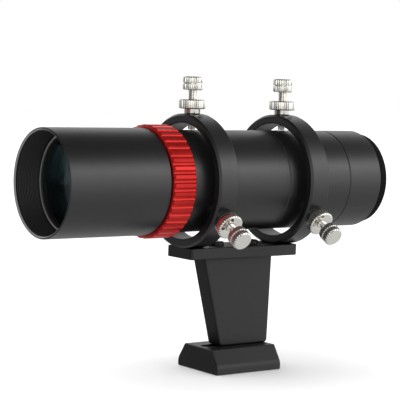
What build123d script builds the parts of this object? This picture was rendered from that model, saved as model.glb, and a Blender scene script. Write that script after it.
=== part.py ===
"""Finder scope of 50 mm aperture in two adjustable rings, on a stalk with a dovetail foot.

Millimetres. The origin is the centre of the foot's underside, +Z is up, and the optical axis
runs along X with the objective towards -X. One STEP is written for each piece.
"""
import os
from math import sqrt

from build123d import *

# ---- the bracket -------------------------------------------------------------------------
AXIS_Z = 104.5              # optical axis above the foot's underside
RING_X = 31.2               # each ring's middle, ahead of and behind the foot's middle
RING_R = 36.25              # ring, outside
RING_BORE_R = 31.35
RING_WIDTH = 13.0
RING_BEVEL = 1.1
FOOT_LENGTH = 44.4
FOOT_HEIGHT = 13.2
FOOT_BOTTOM_WIDTH = 36.5    # the common small finder dovetail
FOOT_TOP_WIDTH = 24.6
FOOT_LIP = 4.4              # upright part of the foot's flanks
SLOT_LENGTH = 39.0          # groove in the foot's top, under the stalk
SLOT_WIDTH = 6.0
SLOT_DEPTH = 2.0
BAR_LENGTH = 73.5
BAR_WIDTH = 22.7
BAR_TOP_Z = 68.8
BAR_THICK = 6.2
STALK_THICK = 10.8
STALK_TOP_HALF = 23.6
STALK_FRONT_X = -10.9       # where the slanted front edge meets the foot
STALK_REAR_X = 22.2

# ---- the tube ----------------------------------------------------------------------------
TUBE_R = 27.5
TUBE_BORE_R = 25.0
NECK_R = 25.9               # focusing thread on the tube's front
NECK_BORE_R = 23.4
NECK_FRONT_X = -92.0
SHOULDER_X = -47.8
SEAM_FRONT_X = 17.1         # front tube screws onto the middle tube here
SEAM_REAR_X = 60.4          # middle tube screws onto the rear housing here
HOUSING_END_X = 84.0
HOUSING_END_BEVEL = 1.0
SEAM_BEVEL = 0.5
SOCKET_DEEP = 8.0           # threaded joint between two tubes
SOCKET_R = 25.8
SPIGOT_BORE_R = 24.0
BAFFLE_THICK = 0.8
BAFFLE_HOLE_R = 20.0

# ---- the objective -----------------------------------------------------------------------
BARREL_R = 28.5
BARREL_BORE_R = 27.1
RIM_X = -124.1
CELL_FRONT_X = -109.8
CELL_REAR_X = -95.5
BARREL_REAR_X = -62.8
RIDGE_PITCH = 0.9           # fine ridges that stop stray light inside the shade
RIDGE_DEEP = 0.25
LENS_R = 25.0
CLEAR_R = 24.1              # retaining ring's opening
RETAINER_THICK = 3.0
CROWN_THICK, CROWN_FRONT_CURVE, CROWN_REAR_CURVE = 7.5, 120.0, 90.0
FLINT_THICK, FLINT_FRONT_CURVE, FLINT_REAR_CURVE = 3.0, 92.0, 400.0
LENS_GAP = 0.4
O_RING_X = -84.0
O_RING_SECTION_R = 0.7

# ---- the red focus lock ring -------------------------------------------------------------
LOCK_RING_R = 30.3
LOCK_RING_FRONT_X = -62.4
LOCK_RING_REAR_X = -48.4
LOCK_RING_FLUTES = 42
LOCK_FLUTE_CUTTER_R = 1.5
LOCK_FLUTE_DEEP = 0.9

# ---- the eyepiece end --------------------------------------------------------------------
EYEPIECE_R = 15.9           # bore for a 1.25 inch barrel
HOLDER_THREAD_R = 21.0
HOLDER_FRONT_X = 60.6
HOLDER_END_X = 85.0
EYEPIECE_RING_R = 25.6
EYEPIECE_RING_X = (84.3, 89.9)
EYEPIECE_RING_FLUTES = 120

# ---- adjusting screws --------------------------------------------------------------------
SCREW_ANGLES = {"top": 0, "left": 120, "right": -120}   # turned about X from straight up
SCREW_R = 2.5               # M5
HUB_R, HUB_HIGH = 4.45, 2.6
FLANGE_R, FLANGE_HIGH = 7.25, 5.0
HEAD_R, HEAD_HIGH = 5.45, 7.3
HEAD_GAP = 5.0              # bare thread between lock nut and head
TIP_R, TIP_HIGH = 2.0, 2.4
TIP_STEM_R, TIP_STEM_HIGH = 1.0, 3.0
TIP_GAP = 0.15              # between a tip and the tube

RUNNING = 0.05              # clearance of parts that turn or slide on each other
HOLE_R = SCREW_R + RUNNING
RING_CENTRES = {"front": -RING_X, "rear": RING_X}


def turned(*points):
    """A solid turned about the optical axis from (x, radius) corners."""
    outline = make_face(Polyline(*points, close=True))
    return Pos(0, 0, AXIS_Z) * revolve(outline, Axis.X)


def upright_turned(*points):
    """A solid turned about the Z axis from (radius, z) corners."""
    outline = make_face(Plane.XZ * Polyline(*points, close=True))
    return revolve(outline, Axis.Z)


def fluted_disc(radius, height, flutes, cutter_r, deep):
    """A disc standing on Z = 0 with round flutes cut along its edge."""
    cutters = PolarLocations(radius - deep + cutter_r, flutes) * Circle(cutter_r)
    return extrude(Circle(radius) - cutters, height)


def along_axis(solid, x):
    """Lay a solid that stands on Z = 0 along the optical axis, starting at x."""
    return Pos(x, 0, AXIS_Z) * Rot(0, 90, 0) * solid


def hex_socket(across_flats, deep):
    """The cutter for a hexagon socket, going down from Z = 0."""
    return Pos(0, 0, -deep) * extrude(RegularPolygon(across_flats / sqrt(3), 6), deep)


# ---- bracket pieces ----------------------------------------------------------------------
def foot_outline():
    """Half of the foot's cross-section mirrored: slanted flanks above an upright lip."""
    top, bottom = FOOT_TOP_WIDTH / 2, FOOT_BOTTOM_WIDTH / 2
    return Polyline((-bottom, 0), (bottom, 0), (bottom, FOOT_LIP), (top, FOOT_HEIGHT),
                    (-top, FOOT_HEIGHT), (-bottom, FOOT_LIP), close=True)


FOOT_BOLT_X = (-5.0, 17.0)


def dovetail_foot():
    section = make_face(Plane.YZ * foot_outline())
    foot = extrude(section, FOOT_LENGTH / 2, both=True)
    knees = foot.edges().filter_by(Axis.X).filter_by(
        lambda edge: abs(edge.center().Z - FOOT_LIP) < 0.1)
    foot = fillet(knees, 5.0)
    foot = fillet(foot.edges(), 0.8)
    slot = SlotOverall(SLOT_LENGTH, SLOT_WIDTH)
    foot -= Pos(0, 0, FOOT_HEIGHT) * extrude(slot, -SLOT_DEPTH)
    for x in FOOT_BOLT_X:
        foot -= Pos(x, 0, 0) * (Cylinder(SCREW_R, 3 * FOOT_HEIGHT) + countersink())
    return foot


def countersink():
    """The cone for a countersunk M5 head, widest on Z = 0."""
    return upright_turned((0, -1), (4.8, -1), (4.8, 0.2), (SCREW_R, 2.5), (0, 2.5))


def foot_bolts():
    """Two countersunk screws up through the foot into the stalk."""
    head = upright_turned((0, 0.2), (4.8, 0.2), (SCREW_R, 2.5), (SCREW_R, 24.0), (0, 24.0))
    screw = head - Pos(0, 0, 0.2) * Rot(180, 0, 0) * hex_socket(3.0, 2.2)
    return Compound([Pos(x, 0, 0) * screw for x in FOOT_BOLT_X])


BAR_BOLT_X = (-12.0, 12.0)


def stalk():
    """A flat plate, upright behind and slanted in front."""
    top = BAR_TOP_Z - BAR_THICK
    side = Polyline((-STALK_TOP_HALF, top), (STALK_TOP_HALF, top),
                    (STALK_REAR_X, FOOT_HEIGHT), (STALK_FRONT_X, FOOT_HEIGHT), close=True)
    plate = extrude(make_face(Plane.XZ * side), STALK_THICK / 2, both=True)
    corners = plate.edges().filter_by(Axis.Y)
    plate = fillet(corners.group_by(Axis.Z)[0], 2.2)
    plate = fillet(plate.edges().filter_by(Axis.Y).group_by(Axis.Z)[-1], 1.2)
    for face in (plate.faces().sort_by(Axis.Y)[0], plate.faces().sort_by(Axis.Y)[-1]):
        plate = fillet(plate.edges().filter_by(
            lambda edge, y=face.center().Y: abs(edge.center().Y - y) < 0.01), 1.0)
    for x in FOOT_BOLT_X:
        plate -= Pos(x, 0, FOOT_HEIGHT) * Cylinder(SCREW_R, 2 * (24.0 - FOOT_HEIGHT))
    for x in BAR_BOLT_X:
        plate -= Pos(x, 0, top) * Cylinder(SCREW_R, 24.0)
    return plate


def ring_bar():
    """The top plate: a shallow saddle for each ring and holes for its screws."""
    bar = Pos(0, 0, BAR_TOP_Z - BAR_THICK / 2) * Box(BAR_LENGTH, BAR_WIDTH, BAR_THICK)
    bar = fillet(bar.edges().filter_by(Axis.Z), 1.5)
    bar = fillet(bar.edges().filter_by(Axis.Z, reverse=True), 0.6)
    for x in RING_CENTRES.values():
        bar -= turned_saddle(x)
        bar -= Pos(x, 0, BAR_TOP_Z) * Cylinder(2.0, 4 * BAR_THICK)
        bar -= Pos(x, 0, BAR_TOP_Z - BAR_THICK) * Cylinder(3.7, 2 * 3.0)
    for x in BAR_BOLT_X:
        bar -= Pos(x, 0, BAR_TOP_Z) * Cylinder(SCREW_R, 4 * BAR_THICK)
    return bar


def turned_saddle(x):
    half = RING_WIDTH / 2
    return turned((x - half, 0), (x + half, 0), (x + half, RING_R), (x - half, RING_R))


def ring_bolts():
    """A cap screw up through the bar into each ring, its head inside a counterbore."""
    foot_z = BAR_TOP_Z - BAR_THICK
    reach = AXIS_Z - RING_R + 3.2
    shape = upright_turned((0, foot_z + 0.3), (3.5, foot_z + 0.3), (3.5, foot_z + 3.0),
                           (2.0, foot_z + 3.0), (2.0, reach), (0, reach))
    screw = shape - Pos(0, 0, foot_z + 0.3) * Rot(180, 0, 0) * hex_socket(3.0, 1.6)
    return Compound([Pos(x, 0, 0) * screw for x in RING_CENTRES.values()])


def bar_bolts():
    """Two low-headed cap screws between the rings, down through the bar into the stalk."""
    shape = upright_turned((0, 2.2), (3.9, 2.2), (4.4, 1.7), (4.4, 0), (SCREW_R, 0),
                           (SCREW_R, -18.0), (0, -18.0))
    screw = shape - Pos(0, 0, 2.2) * hex_socket(3.0, 1.6)
    return Compound([Pos(x, 0, BAR_TOP_Z) * screw for x in BAR_BOLT_X])


def ring(x):
    """A bevelled ring with three tapped holes across it and one for the bar's screw."""
    half, bevel = RING_WIDTH / 2, RING_BEVEL
    inner = 0.5
    body = turned((x - half, RING_BORE_R + inner), (x - half + inner, RING_BORE_R),
                  (x + half - inner, RING_BORE_R), (x + half, RING_BORE_R + inner),
                  (x + half, RING_R - bevel), (x + half - bevel, RING_R),
                  (x - half + bevel, RING_R), (x - half, RING_R - bevel))
    for angle in SCREW_ANGLES.values():
        body -= screw_place(x, angle) * Pos(0, 0, RING_R) * Cylinder(HOLE_R, 12.0)
    return body - Pos(x, 0, AXIS_Z - RING_R) * Cylinder(2.0, 2 * 3.4)


# ---- adjusting screws, built along +Z from the ring's centre -----------------------------
HUB_BASE = RING_R + RUNNING
HEAD_BASE = HUB_BASE + HUB_HIGH + FLANGE_HIGH + HEAD_GAP
TIP_BASE = TUBE_R + TIP_GAP


def screw_place(x, angle):
    return Pos(x, 0, AXIS_Z) * Rot(angle, 0, 0)


def knurled_head():
    """The head: fluted in two bands with a groove between them and rounded rims."""
    half, soft, groove = HEAD_HIGH / 2, 0.7, 0.45
    fluted = fluted_disc(HEAD_R, HEAD_HIGH, 24, 0.55, 0.4)
    envelope = upright_turned(
        (0, 0), (HEAD_R - soft, 0), (HEAD_R, soft), (HEAD_R, half - groove),
        (HEAD_R - groove, half), (HEAD_R, half + groove), (HEAD_R, HEAD_HIGH - soft),
        (HEAD_R - soft, HEAD_HIGH), (0, HEAD_HIGH))
    return fluted & envelope


def adjusting_screw():
    shank_low = TIP_BASE + TIP_HIGH + RUNNING
    shank = Pos(0, 0, shank_low) * extrude(Circle(SCREW_R), HEAD_BASE - shank_low)
    shank = chamfer(shank.edges().sort_by(Axis.Z)[0], 0.3)
    socket_deep = TIP_STEM_HIGH + 2 * RUNNING
    shank -= Pos(0, 0, shank_low) * extrude(Circle(TIP_STEM_R + RUNNING), socket_deep)
    return shank + Pos(0, 0, HEAD_BASE) * knurled_head()


def lock_nut():
    """A knurled flange on a round hub, the hub against the ring."""
    soft = 0.5
    fluted = fluted_disc(FLANGE_R, FLANGE_HIGH, 30, 0.6, 0.4)
    envelope = upright_turned((0, 0), (FLANGE_R - soft, 0), (FLANGE_R, soft),
                              (FLANGE_R, FLANGE_HIGH - soft), (FLANGE_R - soft, FLANGE_HIGH),
                              (0, FLANGE_HIGH))
    nut = Pos(0, 0, HUB_HIGH) * (fluted & envelope) + extrude(Circle(HUB_R), HUB_HIGH)
    return Pos(0, 0, HUB_BASE) * (nut - Cylinder(HOLE_R, 4 * FLANGE_HIGH))


def swivel_tip():
    """A nylon pad with a domed face on a stem that turns in the screw's end."""
    dome = 10.0
    edge = dome - sqrt(dome ** 2 - TIP_R ** 2)
    top = TIP_BASE + TIP_HIGH
    outline = (Line((0, top + TIP_STEM_HIGH), (0, TIP_BASE))
               + ThreePointArc((0, TIP_BASE),
                               (TIP_R / 2, TIP_BASE + dome - sqrt(dome ** 2 - TIP_R ** 2 / 4)),
                               (TIP_R, TIP_BASE + edge))
               + Polyline((TIP_R, TIP_BASE + edge), (TIP_R, top), (TIP_STEM_R, top),
                          (TIP_STEM_R, top + TIP_STEM_HIGH), (0, top + TIP_STEM_HIGH)))
    return revolve(make_face(Plane.XZ * outline), Axis.Z)


# ---- tube pieces -------------------------------------------------------------------------
def front_tube():
    """Threaded neck, shoulder and body, with a socket for the middle tube behind."""
    end, bevel = SEAM_FRONT_X, SEAM_BEVEL
    floor = end - SOCKET_DEEP
    return turned((NECK_FRONT_X, NECK_BORE_R), (NECK_FRONT_X, NECK_R - 0.5),
                  (NECK_FRONT_X + 0.5, NECK_R), (SHOULDER_X, NECK_R),
                  (SHOULDER_X, TUBE_R - bevel), (SHOULDER_X + bevel, TUBE_R),
                  (end - bevel, TUBE_R), (end, TUBE_R - bevel), (end, SOCKET_R),
                  (floor, SOCKET_R), (floor, TUBE_BORE_R), (SHOULDER_X + 4, TUBE_BORE_R),
                  (SHOULDER_X + 2, NECK_BORE_R))


def middle_tube():
    start, end, bevel = SEAM_FRONT_X, SEAM_REAR_X, SEAM_BEVEL
    nose = start - SOCKET_DEEP + BAFFLE_THICK
    floor = end - SOCKET_DEEP
    return turned((nose, SPIGOT_BORE_R), (nose, SOCKET_R), (start, SOCKET_R),
                  (start, TUBE_R - bevel), (start + bevel, TUBE_R), (end - bevel, TUBE_R),
                  (end, TUBE_R - bevel), (end, SOCKET_R), (floor, SOCKET_R),
                  (floor, TUBE_BORE_R), (start + 3, TUBE_BORE_R), (start + 2, SPIGOT_BORE_R))


def rear_housing():
    """The rear tube, thick-walled behind to hold the eyepiece holder's thread."""
    start, end, bevel = SEAM_REAR_X, HOUSING_END_X, SEAM_BEVEL
    nose = start - SOCKET_DEEP
    return turned((nose, SPIGOT_BORE_R), (nose, SOCKET_R), (start, SOCKET_R),
                  (start, TUBE_R - bevel), (start + bevel, TUBE_R),
                  (end - HOUSING_END_BEVEL, TUBE_R), (end, TUBE_R - HOUSING_END_BEVEL),
                  (end, HOLDER_THREAD_R), (end - 11, HOLDER_THREAD_R),
                  (end - 11, SPIGOT_BORE_R))


def light_baffle():
    """A thin ring with a knife edge, clamped between the front and middle tubes."""
    front = SEAM_FRONT_X - SOCKET_DEEP
    return turned((front, BAFFLE_HOLE_R + 0.6), (front, SOCKET_R),
                  (front + BAFFLE_THICK, SOCKET_R), (front + BAFFLE_THICK, BAFFLE_HOLE_R))


COLLET_X = (HOLDER_END_X, 88.2)


def eyepiece_holder():
    """A sleeve for the eyepiece's barrel, threaded outside for housing and lock ring."""
    step = HOUSING_END_X - 11
    return turned((HOLDER_FRONT_X, EYEPIECE_R), (HOLDER_FRONT_X, EYEPIECE_R + 2.2),
                  (step, EYEPIECE_R + 2.2), (step, HOLDER_THREAD_R),
                  (COLLET_X[1], HOLDER_THREAD_R), (COLLET_X[1], EYEPIECE_R + 3.0),
                  (HOLDER_END_X, EYEPIECE_R + 3.0), (HOLDER_END_X, EYEPIECE_R))


def clamp_collet():
    """A split brass ring that the lock ring squeezes onto the eyepiece's barrel."""
    start, end = COLLET_X
    outer = EYEPIECE_R + 2.9
    ring_ = turned((start, EYEPIECE_R), (start, outer), (end - 1, outer), (end, outer - 1),
                   (end, EYEPIECE_R))
    split = Pos((start + end) / 2, 0, AXIS_Z - outer) * Box(10, 1.0, 10)
    return ring_ - split


def eyepiece_lock_ring():
    """The black ring behind: finely fluted outside, threaded on the holder."""
    start, end = EYEPIECE_RING_X
    fluted = along_axis(fluted_disc(EYEPIECE_RING_R, end - start, EYEPIECE_RING_FLUTES,
                                    0.4, 0.12), start)
    lip = COLLET_X[1] + 0.3
    thread = HOLDER_THREAD_R + RUNNING
    envelope = turned((start, thread), (start, EYEPIECE_RING_R - 0.4),
                      (start + 0.4, EYEPIECE_RING_R), (end - 0.6, EYEPIECE_RING_R),
                      (end, EYEPIECE_RING_R - 0.6), (end, EYEPIECE_R + 0.9),
                      (end - 0.5, EYEPIECE_R + 0.4), (lip, EYEPIECE_R + 0.4), (lip, thread))
    return fluted & envelope


# ---- objective pieces --------------------------------------------------------------------
def objective_barrel():
    """Light shade and focusing sleeve in one: ridged inside in front, threaded behind."""
    bevel, mouth = 0.7, BARREL_BORE_R
    groove_half = O_RING_SECTION_R + RUNNING
    thread = NECK_R + RUNNING
    groove_r = NECK_R + 0.1 + 2 * O_RING_SECTION_R + RUNNING
    points = [(RIM_X, mouth + bevel), (RIM_X, BARREL_R - 0.4), (RIM_X + 0.4, BARREL_R),
              (BARREL_REAR_X - bevel, BARREL_R), (BARREL_REAR_X, BARREL_R - bevel),
              (BARREL_REAR_X, thread), (O_RING_X + groove_half, thread),
              (O_RING_X + groove_half, groove_r), (O_RING_X - groove_half, groove_r),
              (O_RING_X - groove_half, thread), (CELL_REAR_X, thread), (CELL_REAR_X, mouth),
              (CELL_FRONT_X, mouth)]
    ridges = int((CELL_FRONT_X - RIM_X - 2 * bevel) / RIDGE_PITCH)
    for i in range(ridges):
        x = CELL_FRONT_X - 0.3 - i * RIDGE_PITCH
        points += [(x, mouth), (x - RIDGE_PITCH / 2, mouth + RIDGE_DEEP)]
    points += [(RIM_X + bevel, mouth)]
    return turned(*points)


def sag(curve, radius):
    """How far a lens surface of this curve falls back at this radius."""
    return curve - sqrt(curve ** 2 - radius ** 2)


CROWN_FRONT_X = CELL_FRONT_X + RETAINER_THICK - sag(CROWN_FRONT_CURVE, CLEAR_R) + RUNNING
CROWN_REAR_X = CROWN_FRONT_X + CROWN_THICK
FLINT_FRONT_X = CROWN_REAR_X + LENS_GAP
FLINT_REAR_X = FLINT_FRONT_X + FLINT_THICK


def arc_across(vertex, curve, radius, side):
    """Half a lens surface from the axis out to the edge; side is +1 if it falls to +X."""
    return ThreePointArc((vertex, 0), (vertex + side * sag(curve, radius / 2), radius / 2),
                         (vertex + side * sag(curve, radius), radius))


def lens(front, front_curve, front_side, rear, rear_curve, rear_side):
    """A round lens from its two surfaces, each given by vertex, curve and side."""
    first = arc_across(front, front_curve, LENS_R, front_side)
    second = arc_across(rear, rear_curve, LENS_R, rear_side)
    outline = first + second + Line(first @ 1, second @ 1) + Line((front, 0), (rear, 0))
    return Pos(0, 0, AXIS_Z) * revolve(make_face(outline), Axis.X)


def crown_lens():
    """The front element, curved outwards on both sides."""
    return lens(CROWN_FRONT_X, CROWN_FRONT_CURVE, 1, CROWN_REAR_X, CROWN_REAR_CURVE, -1)


def flint_lens():
    """The second element: hollow towards the crown, almost flat behind."""
    return lens(FLINT_FRONT_X, FLINT_FRONT_CURVE, -1, FLINT_REAR_X, FLINT_REAR_CURVE, -1)


def lens_spacer():
    """A thin ring that keeps the two lenses apart at their edges."""
    inner, outer, ease = LENS_R - 1.0, LENS_R - 0.05, 0.02
    crown = [CROWN_REAR_X - sag(CROWN_REAR_CURVE, r) + ease for r in (inner, outer)]
    flint = [FLINT_FRONT_X - sag(FLINT_FRONT_CURVE, r) - ease for r in (inner, outer)]
    return turned((crown[0], inner), (crown[1], outer), (flint[1], outer), (flint[0], inner))


def lens_cell():
    """Holds both lenses: a seat behind them and a thread for the retaining ring."""
    seat_r = LENS_R - 1.2
    seat_x = FLINT_REAR_X - sag(FLINT_REAR_CURVE, seat_r) + RUNNING
    bore = LENS_R + RUNNING
    thread = LENS_R + 0.9
    return turned((CELL_FRONT_X, thread), (CELL_FRONT_X, BARREL_BORE_R),
                  (CELL_REAR_X, BARREL_BORE_R), (CELL_REAR_X, seat_r), (seat_x, seat_r),
                  (seat_x, bore), (CELL_FRONT_X + RETAINER_THICK, bore),
                  (CELL_FRONT_X + RETAINER_THICK, thread))


def lens_retaining_ring():
    """Screws in ahead of the lenses, with a bevelled opening."""
    front, rear = CELL_FRONT_X, CELL_FRONT_X + RETAINER_THICK
    return turned((front, CLEAR_R + 0.6), (front, LENS_R + 0.9), (rear, LENS_R + 0.9),
                  (rear, CLEAR_R), (front + 0.6, CLEAR_R))


def focus_o_ring():
    """Rubber ring in the barrel's groove that damps and seals the focusing thread."""
    middle = NECK_R + 0.1 + O_RING_SECTION_R
    return Pos(O_RING_X, 0, AXIS_Z) * Rot(0, 90, 0) * Torus(middle, O_RING_SECTION_R)


def focus_lock_ring():
    """The red ring: round-bottomed flutes between flat lands, bevelled at both ends."""
    start, end = LOCK_RING_FRONT_X, LOCK_RING_REAR_X
    fluted = along_axis(fluted_disc(LOCK_RING_R, end - start, LOCK_RING_FLUTES,
                                    LOCK_FLUTE_CUTTER_R, LOCK_FLUTE_DEEP), start)
    thread = NECK_R + RUNNING
    envelope = turned((start, thread), (start, LOCK_RING_R - 1.3),
                      (start + 0.7, LOCK_RING_R - 0.2), (start + 1.0, LOCK_RING_R),
                      (end - 0.5, LOCK_RING_R), (end, LOCK_RING_R - 0.5), (end, thread))
    return fluted & envelope


def pieces():
    """Every piece by the name of its node."""
    made = {
        "dovetail_foot": dovetail_foot(), "foot_bolts": foot_bolts(), "stalk": stalk(),
        "ring_bar": ring_bar(), "bar_bolts": bar_bolts(), "ring_bolts": ring_bolts(),
        "front_tube": front_tube(), "middle_tube": middle_tube(),
        "rear_housing": rear_housing(), "light_baffle": light_baffle(),
        "eyepiece_holder": eyepiece_holder(), "clamp_collet": clamp_collet(),
        "eyepiece_lock_ring": eyepiece_lock_ring(), "focus_lock_ring": focus_lock_ring(),
        "focus_o_ring": focus_o_ring(), "objective_barrel": objective_barrel(),
        "lens_cell": lens_cell(), "crown_lens": crown_lens(), "lens_spacer": lens_spacer(),
        "flint_lens": flint_lens(), "lens_retaining_ring": lens_retaining_ring(),
    }
    screw, nut, tip = adjusting_screw(), lock_nut(), swivel_tip()
    for end, x in RING_CENTRES.items():
        made[f"{end}_ring"] = ring(x)
        for side, angle in SCREW_ANGLES.items():
            place = screw_place(x, angle)
            made[f"{end}_{side}_screw"] = place * screw
            made[f"{end}_{side}_lock_nut"] = place * nut
            made[f"{end}_{side}_tip"] = place * tip
    return made


os.makedirs("parts", exist_ok=True)
for name, piece in pieces().items():
    export_step(piece, f"parts/{name}.step")
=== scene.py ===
# %% [markdown]
# # A finder scope in anodised aluminium, bright plating and glass
# A finder is the small telescope that rides on a large one and points the way. This lesson
# takes its measured parts as a fixed frame and gives them their looks. The turned black tubes,
# the red lock ring and the bracket keep their measured shapes and get finishes made of nodes.
# The small bright screws and nuts are modelled from given outlines, because their looks are all
# in rounded rims, knurls and threads.

from math import atan2, cos, hypot, radians, sin, tau

import bpy
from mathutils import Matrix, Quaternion, Vector


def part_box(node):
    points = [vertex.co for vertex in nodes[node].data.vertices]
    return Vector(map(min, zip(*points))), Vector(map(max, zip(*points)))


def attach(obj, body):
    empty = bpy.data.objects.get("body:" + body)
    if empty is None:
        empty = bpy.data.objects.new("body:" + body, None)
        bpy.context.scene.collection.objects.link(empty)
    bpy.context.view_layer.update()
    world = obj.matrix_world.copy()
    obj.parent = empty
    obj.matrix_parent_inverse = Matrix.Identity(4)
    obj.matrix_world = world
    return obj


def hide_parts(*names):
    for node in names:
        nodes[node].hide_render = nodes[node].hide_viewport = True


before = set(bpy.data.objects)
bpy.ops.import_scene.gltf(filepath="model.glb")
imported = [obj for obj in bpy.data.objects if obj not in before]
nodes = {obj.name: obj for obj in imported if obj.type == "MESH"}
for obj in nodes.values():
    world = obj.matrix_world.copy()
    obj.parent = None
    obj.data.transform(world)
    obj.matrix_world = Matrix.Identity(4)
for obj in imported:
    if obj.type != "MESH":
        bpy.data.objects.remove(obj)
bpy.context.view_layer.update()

# %% [markdown]
# ## Where things are
# Everything is in metres. The optical axis runs along X at one height, so the middle of the
# front tube's box gives that height, and the rings' boxes give their places along it.

# %% Read the main places off the parts
def middle(name):
    """The centre of a part's box."""
    low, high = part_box(name)
    return (low + high) / 2


MM = 0.001
AXIS_Z = middle("front_tube").z
RING_X = {"front": middle("front_ring").x, "rear": middle("rear_ring").x}
RIM_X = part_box("objective_barrel")[0].x
print("optical axis", round(AXIS_Z, 4), "m up; rings at", RING_X, "; rim at", round(RIM_X, 4))

# %% [markdown]
# ## The camera
# A long lens from nearly a metre away keeps the tube's far end almost as large as its near end.
# The camera stands on the left, ahead of the object and a little above it, and its frame is
# tipped by two degrees.

# %% Set up the camera
CAMERA_TURN, CAMERA_RISE, CAMERA_ROLL = radians(-36.5), radians(4.64), radians(1.91)
CAMERA_AWAY = 0.863
SENSOR_MM, LENS_MM = 36, 142.9
CAMERA_AIM = Vector((-0.0239, 0, 0.0939))
back = Vector((sin(CAMERA_TURN) * cos(CAMERA_RISE), -cos(CAMERA_TURN) * cos(CAMERA_RISE),
               sin(CAMERA_RISE)))
camera = bpy.data.objects.new("camera", bpy.data.cameras.new("camera"))
bpy.context.scene.collection.objects.link(camera)
camera.location = CAMERA_AIM + back * CAMERA_AWAY
camera.rotation_mode = "QUATERNION"
camera.rotation_quaternion = (back.to_track_quat("Z", "Y")
                              @ Quaternion((0, 0, 1), CAMERA_ROLL))
camera.data.sensor_width = SENSOR_MM
camera.data.lens = LENS_MM
camera.data.clip_start = 0.01
bpy.context.scene.camera = camera
bpy.context.scene.view_settings.view_transform = "Standard"
print("camera at", [round(v, 3) for v in camera.location])

# %% [markdown]
# ## A pale floor and a white room
# Black metal shows almost nothing of its own colour: what the eye reads as its shape is the
# room reflected in it. So the room matters as much as the finish. The floor is a wide pale
# sheet. The room looks plain white, but the light it sends to the metal is brightest a little
# above the horizon, dimmer below it and nearly dark overhead, which draws the dark stripe along
# the top of a satin tube. Three dark cards stand round the object: a wide one ahead keeps the
# faces turned that way black, and two narrow ones give the bright plating its dark lines. A
# broad soft sun lights the floor and the paint, but is kept out of mirrors and glass.

# %% Lay the floor
FLOOR_SIDE, FLOOR_WHITE = 8, 0.93
bpy.ops.object.select_all(action="DESELECT")
bpy.ops.mesh.primitive_plane_add(size=FLOOR_SIDE, location=(0, 0, 0))
floor = bpy.context.object
floor.name = "floor"
paint = bpy.data.materials.new("pale_floor")
paint.use_nodes = True
coat = paint.node_tree.nodes["Principled BSDF"].inputs
coat["Base Color"].default_value = (FLOOR_WHITE, FLOOR_WHITE, FLOOR_WHITE, 1)
coat["Roughness"].default_value = 0.9
coat["Specular IOR Level"].default_value = 0.1
floor.data.materials.append(paint)
floor.visible_glossy = False
print("floor", tuple(floor.dimensions))

# %% Helpers for nodes
def add_node(tree, kind, values=None, **settings):
    """A new node with its settings made and its inputs set by name or number."""
    made = tree.nodes.new(kind)
    for key, value in settings.items():
        setattr(made, key, value)
    for key, value in (values or {}).items():
        made.inputs[key].default_value = value
    return made


def set_stops(ramp_node, stops):
    """Give a colour ramp grey stops as (place, brightness) pairs."""
    ramp = ramp_node.color_ramp
    for i, (place, grey) in enumerate(stops):
        stop = ramp.elements[i] if i < 2 else ramp.elements.new(place)
        stop.position = place
        stop.color = (grey, grey, grey, 1)


print("helpers ready:", add_node.__name__, "and", set_stops.__name__)

# %% Light the room
# The brightness from straight down (0) through the horizon (0.5) to straight up (1).
ROOM_STOPS = ((0.0, 0.36), (0.25, 0.40), (0.40, 0.56), (0.47, 0.78), (0.55, 1.0), (0.68, 1.0),
              (0.77, 0.60), (0.86, 0.06))
# Each card: the way it lies, how squarely a ray meets its middle and its rim, its brightness.
DARK_CARDS = (((-0.90, 0.43, 0.0), 0.66, 0.40, 0.22),
              ((-0.09, -1.0, 0.0), 0.975, 0.94, 0.08),
              ((0.593, 0.80, 0.0), 0.96, 0.85, 0.50))
ROOM_STRENGTH = 1.75

world = bpy.data.worlds.new("white_room")
world.use_nodes = True
bpy.context.scene.world = world
room = world.node_tree
seen = room.nodes["Background"]
seen.inputs["Color"].default_value = (1, 1, 1, 1)
seen.inputs["Strength"].default_value = 1.0
direction = add_node(room, "ShaderNodeTexCoord")
parts_of_it = add_node(room, "ShaderNodeSeparateXYZ")
lifted = add_node(room, "ShaderNodeMapRange", {"From Min": -1.0, "From Max": 1.0})
bands = add_node(room, "ShaderNodeValToRGB")
set_stops(bands, ROOM_STOPS)
strong = add_node(room, "ShaderNodeMath", {1: ROOM_STRENGTH}, operation="MULTIPLY")
mirrored = add_node(room, "ShaderNodeBackground", {"Color": (1, 1, 1, 1)})
ray = add_node(room, "ShaderNodeLightPath")
choice = add_node(room, "ShaderNodeMixShader")
room.links.new(direction.outputs["Generated"], parts_of_it.inputs[0])
room.links.new(parts_of_it.outputs["Z"], lifted.inputs["Value"])
room.links.new(lifted.outputs["Result"], bands.inputs["Fac"])
light = bands.outputs["Color"]
for toward, middle_at, rim_at, darkest in DARK_CARDS:
    facing = add_node(room, "ShaderNodeVectorMath", {1: toward}, operation="DOT_PRODUCT")
    shade = add_node(room, "ShaderNodeMapRange", {"From Min": middle_at, "From Max": rim_at,
                                                  "To Min": darkest, "To Max": 1.0})
    product = add_node(room, "ShaderNodeMath", operation="MULTIPLY")
    room.links.new(direction.outputs["Generated"], facing.inputs[0])
    room.links.new(facing.outputs["Value"], shade.inputs["Value"])
    room.links.new(light, product.inputs[0])
    room.links.new(shade.outputs["Result"], product.inputs[1])
    light = product.outputs["Value"]
room.links.new(light, strong.inputs[0])
room.links.new(strong.outputs["Value"], mirrored.inputs["Strength"])
room.links.new(ray.outputs["Is Camera Ray"], choice.inputs["Fac"])
room.links.new(mirrored.outputs["Background"], choice.inputs[1])
room.links.new(seen.outputs["Background"], choice.inputs[2])
room.links.new(choice.outputs["Shader"], room.nodes["World Output"].inputs["Surface"])
print("room with", len(DARK_CARDS), "dark cards and", len(ROOM_STOPS), "steps of brightness")

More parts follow.
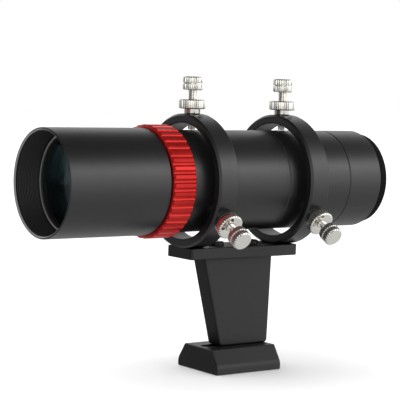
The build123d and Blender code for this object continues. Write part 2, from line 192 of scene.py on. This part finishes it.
# %% Add a soft box and a broad soft sun
def soft_box(name, place, aim, width, tall, watts):
    """A rectangular area light at place, facing aim."""
    lamp = bpy.data.lights.new(name, "AREA")
    lamp.shape, lamp.size, lamp.size_y, lamp.energy = "RECTANGLE", width, tall, watts
    holder = bpy.data.objects.new(name, lamp)
    bpy.context.scene.collection.objects.link(holder)
    holder.location = place
    holder.rotation_mode = "QUATERNION"
    holder.rotation_quaternion = (Vector(place) - Vector(aim)).to_track_quat("Z", "Y")


KEY_WATTS, SKY_STRENGTH, SKY_SPREAD = 0.9, 3.2, radians(90)
SKY_FROM = Vector((-0.35, 0.25, 1))
soft_box("key_box", place=(0.60, -0.70, 0.54), aim=(0, 0, AXIS_Z), width=0.60, tall=0.30,
         watts=KEY_WATTS)
sky = bpy.data.lights.new("sky_sheet", "SUN")
sky.energy, sky.angle = SKY_STRENGTH, SKY_SPREAD
sky_holder = bpy.data.objects.new("sky_sheet", sky)
bpy.context.scene.collection.objects.link(sky_holder)
sky_holder.visible_glossy = sky_holder.visible_transmission = False
sky_holder.rotation_mode = "QUATERNION"
sky_holder.rotation_quaternion = SKY_FROM.to_track_quat("Z", "Y")

# %% [markdown]
# ## Black anodising
# Anodised aluminium wears a hard dyed skin: a near-black colour under a satin sheen, never a
# mirror. A turned tube also carries the fine rings that the lathe's tool left, so its sheen
# breaks up along the axis and runs smoothly around it. A noise texture squeezed hard along X
# gives exactly that. Sharp corners, which a bevel node can find, are painted a lighter grey:
# partly dye worn thin, partly a painted highlight, strongest on the milled bracket. The insides
# of the tubes are dead matt, and so is the fine fluting of the eyepiece's lock ring.

# %% Helpers for finishes
def new_finish(name, **sockets):
    """A material with its Principled shader's own sockets set."""
    made = bpy.data.materials.new(name)
    made.use_nodes = True
    shader = made.node_tree.nodes["Principled BSDF"]
    for key, value in sockets.items():
        shader.inputs[key.replace("_", " ")].default_value = value
    return made, made.node_tree, shader


def pattern(tree, scale, detail=3.0, stretch=(1, 1, 1)):
    """A noise texture on Object coordinates, stretched by a Mapping node."""
    place = add_node(tree, "ShaderNodeTexCoord")
    mapping = add_node(tree, "ShaderNodeMapping", {"Scale": stretch})
    noise = add_node(tree, "ShaderNodeTexNoise", {"Scale": scale, "Detail": detail})
    tree.links.new(place.outputs["Object"], mapping.inputs["Vector"])
    tree.links.new(mapping.outputs["Vector"], noise.inputs["Vector"])
    return noise.outputs["Fac"]


def remap(tree, value, low, high, to_low, to_high):
    """Stretch a value from one range to another, clamped at both ends."""
    ranged = add_node(tree, "ShaderNodeMapRange", {"From Min": low, "From Max": high,
                                                   "To Min": to_low, "To Max": to_high})
    tree.links.new(value, ranged.inputs["Value"])
    return ranged.outputs["Result"]


def spread(tree, noise, low, high):
    """Stretch the values that a noise mostly takes, 0.3 to 0.7, over a range."""
    return remap(tree, noise, 0.3, 0.7, low, high)


def tool_rings(tree):
    """The fine rings of a lathe's tool: noise squeezed along X and drawn out around it."""
    return pattern(tree, 60.0, 2.0, stretch=(60, 0.4, 0.4))


def blend_colours(tree, factor, first, second):
    """Mix two colours; each is a colour or the output of another node."""
    mix = add_node(tree, "ShaderNodeMix", data_type="RGBA")
    tree.links.new(factor, mix.inputs["Factor"])
    for socket, colour in ((mix.inputs[6], first), (mix.inputs[7], second)):
        if isinstance(colour, tuple):
            socket.default_value = (*colour, 1)
        else:
            tree.links.new(colour, socket)
    return mix.outputs[2]


def combine(tree, first, operation, second):
    """Math on two values; each is a number or the output of another node."""
    maths = add_node(tree, "ShaderNodeMath", operation=operation)
    for socket, value in zip(maths.inputs, (first, second)):
        if isinstance(value, (int, float)):
            socket.default_value = value
        else:
            tree.links.new(value, socket)
    return maths.outputs["Value"]


print("helpers ready for colours and numbers")

# %% Helpers for relief and for worn corners
def relief(tree, shader, bumps, edge_radius=0.0):
    """Chain (height, distance) bumps into the shader's normal, over softened edges."""
    normal = None
    if edge_radius:
        normal = add_node(tree, "ShaderNodeBevel", {"Radius": edge_radius},
                          samples=6).outputs["Normal"]
    for value, distance in bumps:
        bump = add_node(tree, "ShaderNodeBump", {"Distance": distance, "Strength": 1.0})
        tree.links.new(value, bump.inputs["Height"])
        if normal is not None:
            tree.links.new(normal, bump.inputs["Normal"])
        normal = bump.outputs["Normal"]
    tree.links.new(normal, shader.inputs["Normal"])


# How far a softened normal agrees with the face's own: on a nearly flat spot, on a corner.
# Corners past that are painted lighter: worn dye, and on the black parts a painted highlight too.
FLAT_TURN, SHARP_TURN = 0.97, 0.80


def edges_for_wear_and_highlight(tree, radius, patchy):
    """1 on sharp corners and 0 on open faces, broken up by a noise value."""
    soft = add_node(tree, "ShaderNodeBevel", {"Radius": radius}, samples=6)
    plain = add_node(tree, "ShaderNodeNewGeometry")
    turn = add_node(tree, "ShaderNodeVectorMath", operation="DOT_PRODUCT")
    tree.links.new(soft.outputs["Normal"], turn.inputs[0])
    tree.links.new(plain.outputs["Normal"], turn.inputs[1])
    edge = remap(tree, turn.outputs["Value"], FLAT_TURN, SHARP_TURN, 0.0, 1.0)
    return combine(tree, edge, "MULTIPLY", remap(tree, patchy, 0.35, 0.65, 0.35, 1.0))


print("corners count as worn once their normals turn past", SHARP_TURN)

# %% Helpers for dressing a part and for finding its zones
def dress(finish, *names):
    """Give parts a finish in place of the material they came with."""
    for name in names:
        nodes[name].data.materials.clear()
        nodes[name].data.materials.append(finish)
    print(finish.name, "on", len(names), "parts")


def from_axis(tree):
    """The distance of a point from the optical axis, and its place along it."""
    place = add_node(tree, "ShaderNodeTexCoord")
    centred = add_node(tree, "ShaderNodeVectorMath", {1: (0, 0, -AXIS_Z)}, operation="ADD")
    flat = add_node(tree, "ShaderNodeVectorMath", {1: (0, 1, 1)}, operation="MULTIPLY")
    away = add_node(tree, "ShaderNodeVectorMath", operation="LENGTH")
    split = add_node(tree, "ShaderNodeSeparateXYZ")
    tree.links.new(place.outputs["Object"], centred.inputs[0])
    tree.links.new(centred.outputs["Vector"], flat.inputs[0])
    tree.links.new(flat.outputs["Vector"], away.inputs[0])
    tree.links.new(place.outputs["Object"], split.inputs[0])
    return away.outputs["Value"], split.outputs["X"]


print("zones are told apart about an axis", round(AXIS_Z / MM, 1), "mm up")

# %% Black anodising on turned and on milled parts
DEEP_BLACK, WORN_BLACK = (0.0022, 0.0022, 0.0025), (0.004, 0.004, 0.0044)
MATT_INSIDE = (0.003, 0.003, 0.003)
TUBE_BORE_R = 25.3         # in millimetres: nearer the axis than this, all is matt
DRIFT, GRAIN, MILLING = 28.0, 5200.0, 700.0
GRAIN_DEPTH = TOOL_DEPTH = 0.004 * MM


def black_anodising(name, turned, marks_depth, roughness, ior, wear_and_highlight_grey):
    """Satin black: drifting shade, tool marks, fine grain, worn corners with painted highlight."""
    finish, tree, shader = new_finish(name, Metallic=0.0, IOR=ior)
    drift = pattern(tree, DRIFT)
    grain = pattern(tree, GRAIN, 2.0)
    lines = tool_rings(tree) if turned else pattern(tree, MILLING, 2.0)
    colour = blend_colours(tree, spread(tree, drift, 0.0, 1.0), DEEP_BLACK, WORN_BLACK)
    # Painted highlight: corners turn a lighter grey, partly worn dye, partly standing in for light
    # caught on the edges.
    worn = edges_for_wear_and_highlight(tree, 0.35 * MM, drift)
    colour = blend_colours(tree, worn, colour, (wear_and_highlight_grey, wear_and_highlight_grey, wear_and_highlight_grey * 1.03))
    inside = remap(tree, from_axis(tree)[0], (TUBE_BORE_R + 0.05) * MM,
                   (TUBE_BORE_R - 0.05) * MM, 0.0, 1.0)
    tree.links.new(blend_colours(tree, inside, colour, MATT_INSIDE), shader.inputs["Base Color"])
    rough = combine(tree, spread(tree, lines, roughness - 0.035, roughness + 0.035), "ADD",
                    spread(tree, drift, -0.02, 0.03))
    rough = combine(tree, rough, "SUBTRACT", combine(tree, worn, "MULTIPLY", 0.08))
    rough = combine(tree, rough, "ADD", combine(tree, inside, "MULTIPLY", 0.5))
    tree.links.new(rough, shader.inputs["Roughness"])
    relief(tree, shader, ((grain, GRAIN_DEPTH), (lines, marks_depth)), 0.25 * MM)
    return finish


# The last number is the corners' grey: wear, and a painted highlight, brightest on the milled
# parts.
turned_black = black_anodising("black_anodised_turned", turned=True, marks_depth=TOOL_DEPTH,
                               roughness=0.36, ior=1.58, wear_and_highlight_grey=0.05)
milled_black = black_anodising("black_anodised_milled", turned=False, marks_depth=0.003 * MM,
                               roughness=0.44, ior=1.46, wear_and_highlight_grey=0.15)
fluted_black = black_anodising("black_anodised_fluted", turned=True, marks_depth=0.002 * MM,
                               roughness=0.60, ior=1.16, wear_and_highlight_grey=0.005)
dress(turned_black, "front_tube", "middle_tube", "rear_housing", "front_ring", "rear_ring",
      "eyepiece_holder")
dress(fluted_black, "eyepiece_lock_ring")
dress(milled_black, "dovetail_foot", "stalk", "ring_bar")

# %% [markdown]
# ## The objective barrel, outside and in
# The barrel is satin black outside, its thin mouth bevel carries a painted highlight, and it is
# dead matt inside, where stray light would spoil the view. It is one turned piece, so one finish
# tells these zones apart by how far a point lies from the optical axis.

# %% The barrel's finish
BARREL_BORE_R, MOUTH_BEVEL = 27.77, 0.70      # in millimetres


def barrel_finish():
    """Satin outside, a painted highlight on the bevel round the mouth, and matt black inside."""
    finish, tree, shader = new_finish("black_anodised_barrel", Metallic=0.0, IOR=1.58)
    away, along = from_axis(tree)
    inside = remap(tree, away, (BARREL_BORE_R + 0.03) * MM, (BARREL_BORE_R - 0.03) * MM, 0.0, 1.0)
    mouth = combine(tree, remap(tree, along, RIM_X + (MOUTH_BEVEL + 0.02) * MM,
                                RIM_X + (MOUTH_BEVEL - 0.02) * MM, 0.0, 1.0),
                    "MULTIPLY", inside)
    drift = pattern(tree, DRIFT)
    lines = tool_rings(tree)
    grain = pattern(tree, GRAIN, 2.0)
    outer = blend_colours(tree, spread(tree, drift, 0.0, 1.0), DEEP_BLACK, WORN_BLACK)
    colour = blend_colours(tree, inside, outer, (0.0050, 0.0049, 0.0049))
    # Painted highlight: the mouth's bevel is coloured light grey to stand in for light it catches.
    colour = blend_colours(tree, mouth, colour, (0.16, 0.16, 0.165))
    tree.links.new(colour, shader.inputs["Base Color"])
    rough = spread(tree, lines, 0.325, 0.395)
    rough = combine(tree, rough, "ADD", combine(tree, inside, "MULTIPLY", 0.28))
    rough = combine(tree, rough, "SUBTRACT", combine(tree, mouth, "MULTIPLY", 0.38))
    tree.links.new(rough, shader.inputs["Roughness"])
    relief(tree, shader, ((grain, GRAIN_DEPTH), (lines, TOOL_DEPTH)), 0.06 * MM)
    return finish


dress(barrel_finish(), "objective_barrel")

# %% [markdown]
# ## Inside parts, glass and the red ring
# The cell and the rings around the glass are matt black, but for a small cone round the
# retaining ring's opening that carries a painted highlight. Coated glass throws back only a
# little blue-green light. The red ring is dyed aluminium: the metal's own glint shows through the
# dye, so it is a metal coloured red, with the dye thinner on its worn lands.

# %% Matt black inside the optics
def matt_black():
    """Nearly no colour, a dull sheen and the tool's fine rings."""
    finish, tree, shader = new_finish("matt_black_inner", Metallic=0.0, IOR=1.5)
    drift = pattern(tree, 90.0, 3.0)
    lines = tool_rings(tree)
    colour = blend_colours(tree, drift, (0.004, 0.004, 0.0042), (0.008, 0.008, 0.0085))
    tree.links.new(colour, shader.inputs["Base Color"])
    tree.links.new(spread(tree, lines, 0.30, 0.42), shader.inputs["Roughness"])
    relief(tree, shader, ((lines, TOOL_DEPTH),), 0.12 * MM)
    return finish


dress(matt_black(), "lens_cell", "light_baffle", "lens_spacer")

# %% The ring that holds the glass, with a painted highlight on the bevel round its opening
CONE_DEEP, CONE_WIDE = 0.60, 1.10             # in millimetres


def retainer_finish():
    """Matt black but for a painted highlight on the small cone round its opening."""
    finish, tree, shader = new_finish("black_retainer", Metallic=0.0, IOR=1.5)
    low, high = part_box("lens_retaining_ring")
    away, along = from_axis(tree)
    ring_r = high.z - AXIS_Z
    cone = combine(tree, remap(tree, along, low.x + (CONE_DEEP + 0.02) * MM,
                               low.x + (CONE_DEEP - 0.02) * MM, 0.0, 1.0),
                   "MULTIPLY", remap(tree, away, ring_r - CONE_WIDE * MM,
                                     ring_r - (CONE_WIDE - 0.05) * MM, 0.0, 1.0))
    colour = blend_colours(tree, pattern(tree, 90.0), (0.003, 0.003, 0.003), (0.006, 0.006, 0.006))
    # Painted highlight: the cone is coloured light grey to stand in for light it catches.
    tree.links.new(blend_colours(tree, cone, colour, (0.20, 0.20, 0.21)),
                   shader.inputs["Base Color"])
    tree.links.new(combine(tree, 0.6, "SUBTRACT", combine(tree, cone, "MULTIPLY", 0.35)),
                   shader.inputs["Roughness"])
    relief(tree, shader, ((tool_rings(tree), TOOL_DEPTH),), 0.05 * MM)
    return finish


dress(retainer_finish(), "lens_retaining_ring")

# %% Coated glass
LENS_R = (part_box("crown_lens")[1].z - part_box("crown_lens")[0].z) / 2


def coated_glass():
    """Clear dark glass with a faint blue-green glint, and a blackened edge."""
    finish, tree, shader = new_finish(
        "coated_glass", Metallic=0.0, IOR=1.52,
        Specular_IOR_Level=0.05, Specular_Tint=(0.07, 0.15, 0.17, 1))
    cloud = pattern(tree, 120.0, 4.0)
    edge = remap(tree, from_axis(tree)[0], LENS_R - 0.05 * MM, LENS_R - 0.02 * MM, 0.0, 1.0)
    clear = blend_colours(tree, cloud, (0.30, 0.42, 0.44), (0.38, 0.48, 0.50))
    tree.links.new(blend_colours(tree, edge, clear, (0.004, 0.004, 0.004)),
                   shader.inputs["Base Color"])
    tree.links.new(combine(tree, 1.0, "SUBTRACT", edge), shader.inputs["Transmission Weight"])
    rough = remap(tree, cloud, 0.45, 0.75, 0.0, 0.025)
    tree.links.new(combine(tree, rough, "ADD", combine(tree, edge, "MULTIPLY", 0.7)),
                   shader.inputs["Roughness"])
    return finish


dress(coated_glass(), "crown_lens", "flint_lens")

# %% Red anodising
def red_anodising():
    """Metal seen through red dye, with lighter worn corners under a thin seal."""
    finish, tree, shader = new_finish("red_anodised", Metallic=0.75, IOR=1.5, Coat_Weight=0.1,
                                      Coat_Roughness=0.25)
    drift = pattern(tree, 60.0, 3.0)
    grain = pattern(tree, 4200.0, 2.0)
    lines = tool_rings(tree)
    colour = blend_colours(tree, spread(tree, drift, 0.0, 1.0),
                           (0.42, 0.007, 0.005), (0.55, 0.015, 0.012))
    colour = blend_colours(tree, edges_for_wear_and_highlight(tree, 0.18 * MM, drift), colour, (0.60, 0.04, 0.03))
    tree.links.new(colour, shader.inputs["Base Color"])
    tree.links.new(spread(tree, lines, 0.27, 0.37), shader.inputs["Roughness"])
    relief(tree, shader, ((grain, 0.003 * MM), (lines, TOOL_DEPTH)), 0.12 * MM)
    return finish


dress(red_anodising(), "focus_lock_ring")

# %% [markdown]
# ## Rubber, brass, nylon, steel and plating
# These are small or half hidden, so one recipe serves four of them: a colour that drifts
# between two shades, a roughness that drifts with it, and a fine grain. Only the colours and
# the metal differ. Bright plating is a mirror and needs less: its looks come from the room, so
# a slightly uneven roughness is what stops it from looking too perfect.

# %% Rubber, brass, nylon and blackened steel
def plain_finish(name, dark, light, roughness, scale, depth, **sockets):
    """A drifting colour, a varied roughness and a fine grain for a small part."""
    finish, tree, shader = new_finish(name, **sockets)
    drift = pattern(tree, scale, 4.0)
    grain = pattern(tree, scale * 14, 2.0)
    tree.links.new(blend_colours(tree, spread(tree, drift, 0.0, 1.0), dark, light),
                   shader.inputs["Base Color"])
    tree.links.new(spread(tree, drift, roughness - 0.05, roughness + 0.05),
                   shader.inputs["Roughness"])
    relief(tree, shader, ((grain, depth),), 0.15 * MM)
    return finish


rubber = plain_finish("seal_rubber", (0.010, 0.010, 0.010), (0.02, 0.02, 0.02),
                      roughness=0.55, scale=300.0, depth=0.006 * MM)
brass = plain_finish("collet_brass", (0.62, 0.43, 0.17), (0.76, 0.57, 0.27),
                     roughness=0.30, scale=200.0, depth=0.003 * MM, Metallic=1.0)
steel = plain_finish("black_oxide_steel", (0.014, 0.014, 0.015), (0.035, 0.034, 0.034),
                     roughness=0.34, scale=260.0, depth=0.003 * MM, Metallic=0.6)
nylon = plain_finish("nylon", (0.70, 0.68, 0.60), (0.80, 0.78, 0.71),
                     roughness=0.42, scale=260.0, depth=0.004 * MM,
                     Subsurface_Weight=0.2, Subsurface_Scale=0.001)
dress(rubber, "focus_o_ring")
dress(brass, "clamp_collet")
dress(steel, "foot_bolts", "bar_bolts", "ring_bolts")

# %% Bright plating
def bright_plating():
    """A warm white mirror, slightly uneven."""
    finish, tree, shader = new_finish("bright_plated", Metallic=1.0, IOR=2.0)
    drift = pattern(tree, 220.0, 3.0)
    grain = pattern(tree, 3800.0, 2.0)
    colour = blend_colours(tree, drift, (0.74, 0.72, 0.67), (0.84, 0.825, 0.79))
    tree.links.new(colour, shader.inputs["Base Color"])
    tree.links.new(spread(tree, drift, 0.06, 0.14), shader.inputs["Roughness"])
    relief(tree, shader, ((grain, 0.0015 * MM),), 0.12 * MM)
    return finish


plating = bright_plating()
print("ready for the screws:", nylon.name, "and", plating.name)

# %% [markdown]
# ## The adjusting screws
# Three screws in each ring hold the tube and aim it. Each is turned from bar: a knurled head
# with a groove round its middle, a threaded shank, and a bored end that a nylon tip turns in.
# A lathe shape is made here as a lathe would cut it: one circle of points is extruded and
# resized, ring after ring, up the outline. A knurl is every fourth point of the outer rings
# pulled in. The thread is a small zigzag carried up a helix by the Screw modifier. All is
# modelled upright on the optical axis, with heights in millimetres from that axis.

# %% Turn a shape ring by ring
def turn_shape(name, outline, sides, closed=False):
    """Extrude a circle up an outline of (radius, height) steps in millimetres."""
    bpy.ops.object.select_all(action="DESELECT")
    radius, height = outline[0]
    bpy.ops.mesh.primitive_circle_add(vertices=sides, radius=radius * MM,
                                      location=(0, 0, height * MM))
    made = bpy.context.object
    made.name = name
    bpy.ops.object.transform_apply(location=True)
    bpy.ops.object.mode_set(mode="EDIT")
    bpy.ops.mesh.select_all(action="SELECT")
    if not closed:
        bpy.ops.mesh.edge_face_add()
    for wider, higher in outline[1:] + (outline[:1] if closed else ()):
        bpy.ops.mesh.extrude_region_move(
            TRANSFORM_OT_translate={"value": (0, 0, (higher - height) * MM)})
        bpy.ops.transform.resize(value=(wider / radius, wider / radius, 1),
                                 center_override=(0, 0, higher * MM))
        radius, height = wider, higher
    bpy.ops.mesh.select_all(action="SELECT")
    bpy.ops.mesh.remove_doubles(threshold=1e-7)
    bpy.ops.mesh.normals_make_consistent(inside=False)
    bpy.ops.object.mode_set(mode="OBJECT")
    return made


def knurl(made, sides, beyond, bottom):
    """Pull in every fourth point of the rings that lie beyond a radius."""
    for v in made.data.vertices:
        step = round(atan2(v.co.y, v.co.x) / tau * sides) % 4
        v.select = hypot(v.co.x, v.co.y) > beyond * MM and step == 2
    for part in (made.data.edges, made.data.polygons):
        for each in part:
            each.select = False
    bpy.ops.object.mode_set(mode="EDIT")
    bpy.ops.transform.resize(value=(bottom, bottom, 1), center_override=(0, 0, 0))
    bpy.ops.object.mode_set(mode="OBJECT")


print("a lathe and a knurling tool are ready")

# %% Soften the corners of a turned shape
CORNER_ANGLE, SMOOTH_ANGLE, THREAD_ANGLE = radians(28), radians(35), radians(25)


def soften(made, width):
    """Round the sharp corners a little and shade the rest smooth."""
    rounding = made.modifiers.new("rounding", "BEVEL")
    rounding.width, rounding.segments = width * MM, 2
    rounding.limit_method, rounding.angle_limit = "ANGLE", CORNER_ANGLE
    bpy.ops.object.modifier_apply(modifier="rounding")
    bpy.ops.object.shade_smooth_by_angle(angle=SMOOTH_ANGLE)


def deselect_points():
    """Leave nothing selected inside the active object, and go back to object mode."""
    bpy.ops.object.mode_set(mode="EDIT")
    bpy.ops.mesh.select_all(action="DESELECT")
    bpy.ops.object.mode_set(mode="OBJECT")


print("corners sharper than", round(CORNER_ANGLE, 2), "radians are rounded")

# %% Model one screw's head, standing on the ring's centre
HEAD_SIDES, HEAD_R, GROOVE_R, DISC_R = 96, 5.45, 4.95, 3.9
HEAD_FOOT, HEAD_TOP = 48.9, 56.2
SMALL_ROUND = 0.07
head = turn_shape("screw_head", (
    (2.2, HEAD_FOOT), (4.85, HEAD_FOOT), (HEAD_R, 49.5), (HEAD_R, 52.1), (GROOVE_R, 52.4),
    (GROOVE_R, 52.7), (HEAD_R, 53.0), (HEAD_R, 55.5), (4.75, HEAD_TOP), (DISC_R, HEAD_TOP)),
    HEAD_SIDES)
deselect_points()
for v in head.data.vertices:
    v.select = (v.co.z > (HEAD_TOP - 0.01) * MM
                and hypot(v.co.x, v.co.y) < (DISC_R + 0.05) * MM)
bpy.ops.object.mode_set(mode="EDIT")
bpy.ops.mesh.edge_face_add()
bpy.ops.object.mode_set(mode="OBJECT")
knurl(head, HEAD_SIDES, beyond=HEAD_R - 0.15, bottom=0.885)
soften(head, SMALL_ROUND)
print("head", len(head.data.polygons), "faces")

# %% Cut its thread
PITCH, THREAD_R, CORE_R = 0.8, 2.5, 2.04
THREAD_START, THREAD_TURNS, TURN_STEPS = 32.0, 24, 24
THREAD_LOW, THREAD_HIGH = 33.25, 49.6
bpy.ops.object.select_all(action="DESELECT")
bpy.ops.mesh.primitive_circle_add(vertices=3, radius=MM, location=(0, 0, 0))
shank = bpy.context.object
zigzag = ((CORE_R, 0), (THREAD_R, PITCH / 2), (CORE_R, PITCH))
for v, (across, up) in zip(shank.data.vertices, zigzag):
    v.co = (across * MM, 0, (THREAD_START + up) * MM)
deselect_points()
for edge in shank.data.edges:
    edge.select = {edge.vertices[0], edge.vertices[1]} == {0, 2}
bpy.ops.object.mode_set(mode="EDIT")
bpy.ops.mesh.select_mode(type="EDGE")
bpy.ops.mesh.delete(type="EDGE")
bpy.ops.mesh.select_mode(type="VERT")
bpy.ops.object.mode_set(mode="OBJECT")
helix = shank.modifiers.new("helix", "SCREW")
helix.axis, helix.screw_offset, helix.iterations = "Z", PITCH * MM, THREAD_TURNS
helix.steps = helix.render_steps = TURN_STEPS
helix.use_merge_vertices = False
bpy.ops.object.modifier_apply(modifier="helix")
bpy.ops.object.mode_set(mode="EDIT")
bpy.ops.mesh.select_all(action="SELECT")
bpy.ops.mesh.remove_doubles(threshold=1e-6)
for cut, keep_below in ((THREAD_LOW, False), (THREAD_HIGH, True)):
    bpy.ops.mesh.select_all(action="SELECT")
    bpy.ops.mesh.bisect(plane_co=(0, 0, cut * MM), plane_no=(0, 0, 1), use_fill=True,
                        clear_inner=not keep_below, clear_outer=keep_below)
bpy.ops.mesh.select_all(action="SELECT")
bpy.ops.mesh.normals_make_consistent(inside=False)
bpy.ops.object.mode_set(mode="OBJECT")
bpy.ops.object.shade_smooth_by_angle(angle=THREAD_ANGLE)
print("thread", len(shank.data.polygons), "faces")

# %% Bore its end and join the three
END_BORE_R, END_R, END_LOW, END_HIGH, END_SIDES = 1.05, 2.2, 30.10, 33.40, 48
sleeve = turn_shape("screw_end", (
    (END_BORE_R, END_LOW), (1.9, END_LOW), (END_R, 30.40), (END_R, END_HIGH),
    (END_BORE_R, END_HIGH)), END_SIDES, closed=True)
bpy.ops.object.shade_smooth_by_angle(angle=SMOOTH_ANGLE)
for each in (head, shank, sleeve):
    each.select_set(True)
bpy.context.view_layer.objects.active = head
bpy.ops.object.join()
print("screw", len(head.data.polygons), "faces")

# %% [markdown]
# ## The lock nuts
# A lock nut is a knurled flange on a plain hub, bored right through. Its outline closes on
# itself, so the last ring meets the first and the two are merged.

# %% Model one lock nut
NUT_SIDES, NUT_BORE_R, HUB_R, FLANGE_R = 120, 2.55, 4.45, 7.25
HUB_LOW, FLANGE_LOW, NUT_TOP = 36.3, 38.9, 43.9
nut = turn_shape("lock_nut", (
    (NUT_BORE_R, HUB_LOW), (4.2, HUB_LOW), (HUB_R, 36.55), (HUB_R, FLANGE_LOW),
    (6.6, FLANGE_LOW), (FLANGE_R, 39.45), (FLANGE_R, 43.35), (6.6, NUT_TOP), (2.9, NUT_TOP),
    (NUT_BORE_R, 43.55)), NUT_SIDES, closed=True)
knurl(nut, NUT_SIDES, beyond=FLANGE_R - 0.15, bottom=0.925)
soften(nut, SMALL_ROUND)
print("nut", len(nut.data.polygons), "faces")

# %% [markdown]
# ## Six places
# Each ring carries one screw on top and two below, a third of a turn apart. What repeats is
# modelled once and copied. Each copy is turned about the tube, and then its place is baked into
# its own mesh, so that it sits where its measured part does and moves with the same body.

# %% Put a copy of each in all six places
def set_in_place(model, name, x, angle):
    """Copy a finished piece, turn it about the tube and bake its place into its mesh."""
    bpy.ops.object.select_all(action="DESELECT")
    model.select_set(True)
    bpy.context.view_layer.objects.active = model
    bpy.ops.object.duplicate()
    placed = bpy.context.object
    placed.name = name + "_bright"
    placed.rotation_euler = (radians(angle), 0, 0)
    placed.location = (x, 0, AXIS_Z)
    bpy.ops.object.transform_apply(location=True, rotation=True, scale=True)
    placed.data.materials.clear()
    placed.data.materials.append(plating)
    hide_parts(name)
    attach(placed, name)


SIDES = {"top": 0, "left": 120, "right": -120}
for end, x in RING_X.items():
    for side, angle in SIDES.items():
        set_in_place(head, f"{end}_{side}_screw", x, angle)
        set_in_place(nut, f"{end}_{side}_lock_nut", x, angle)
        dress(nylon, f"{end}_{side}_tip")
bpy.data.objects.remove(head)
bpy.data.objects.remove(nut)
print("six screws and six lock nuts in place")
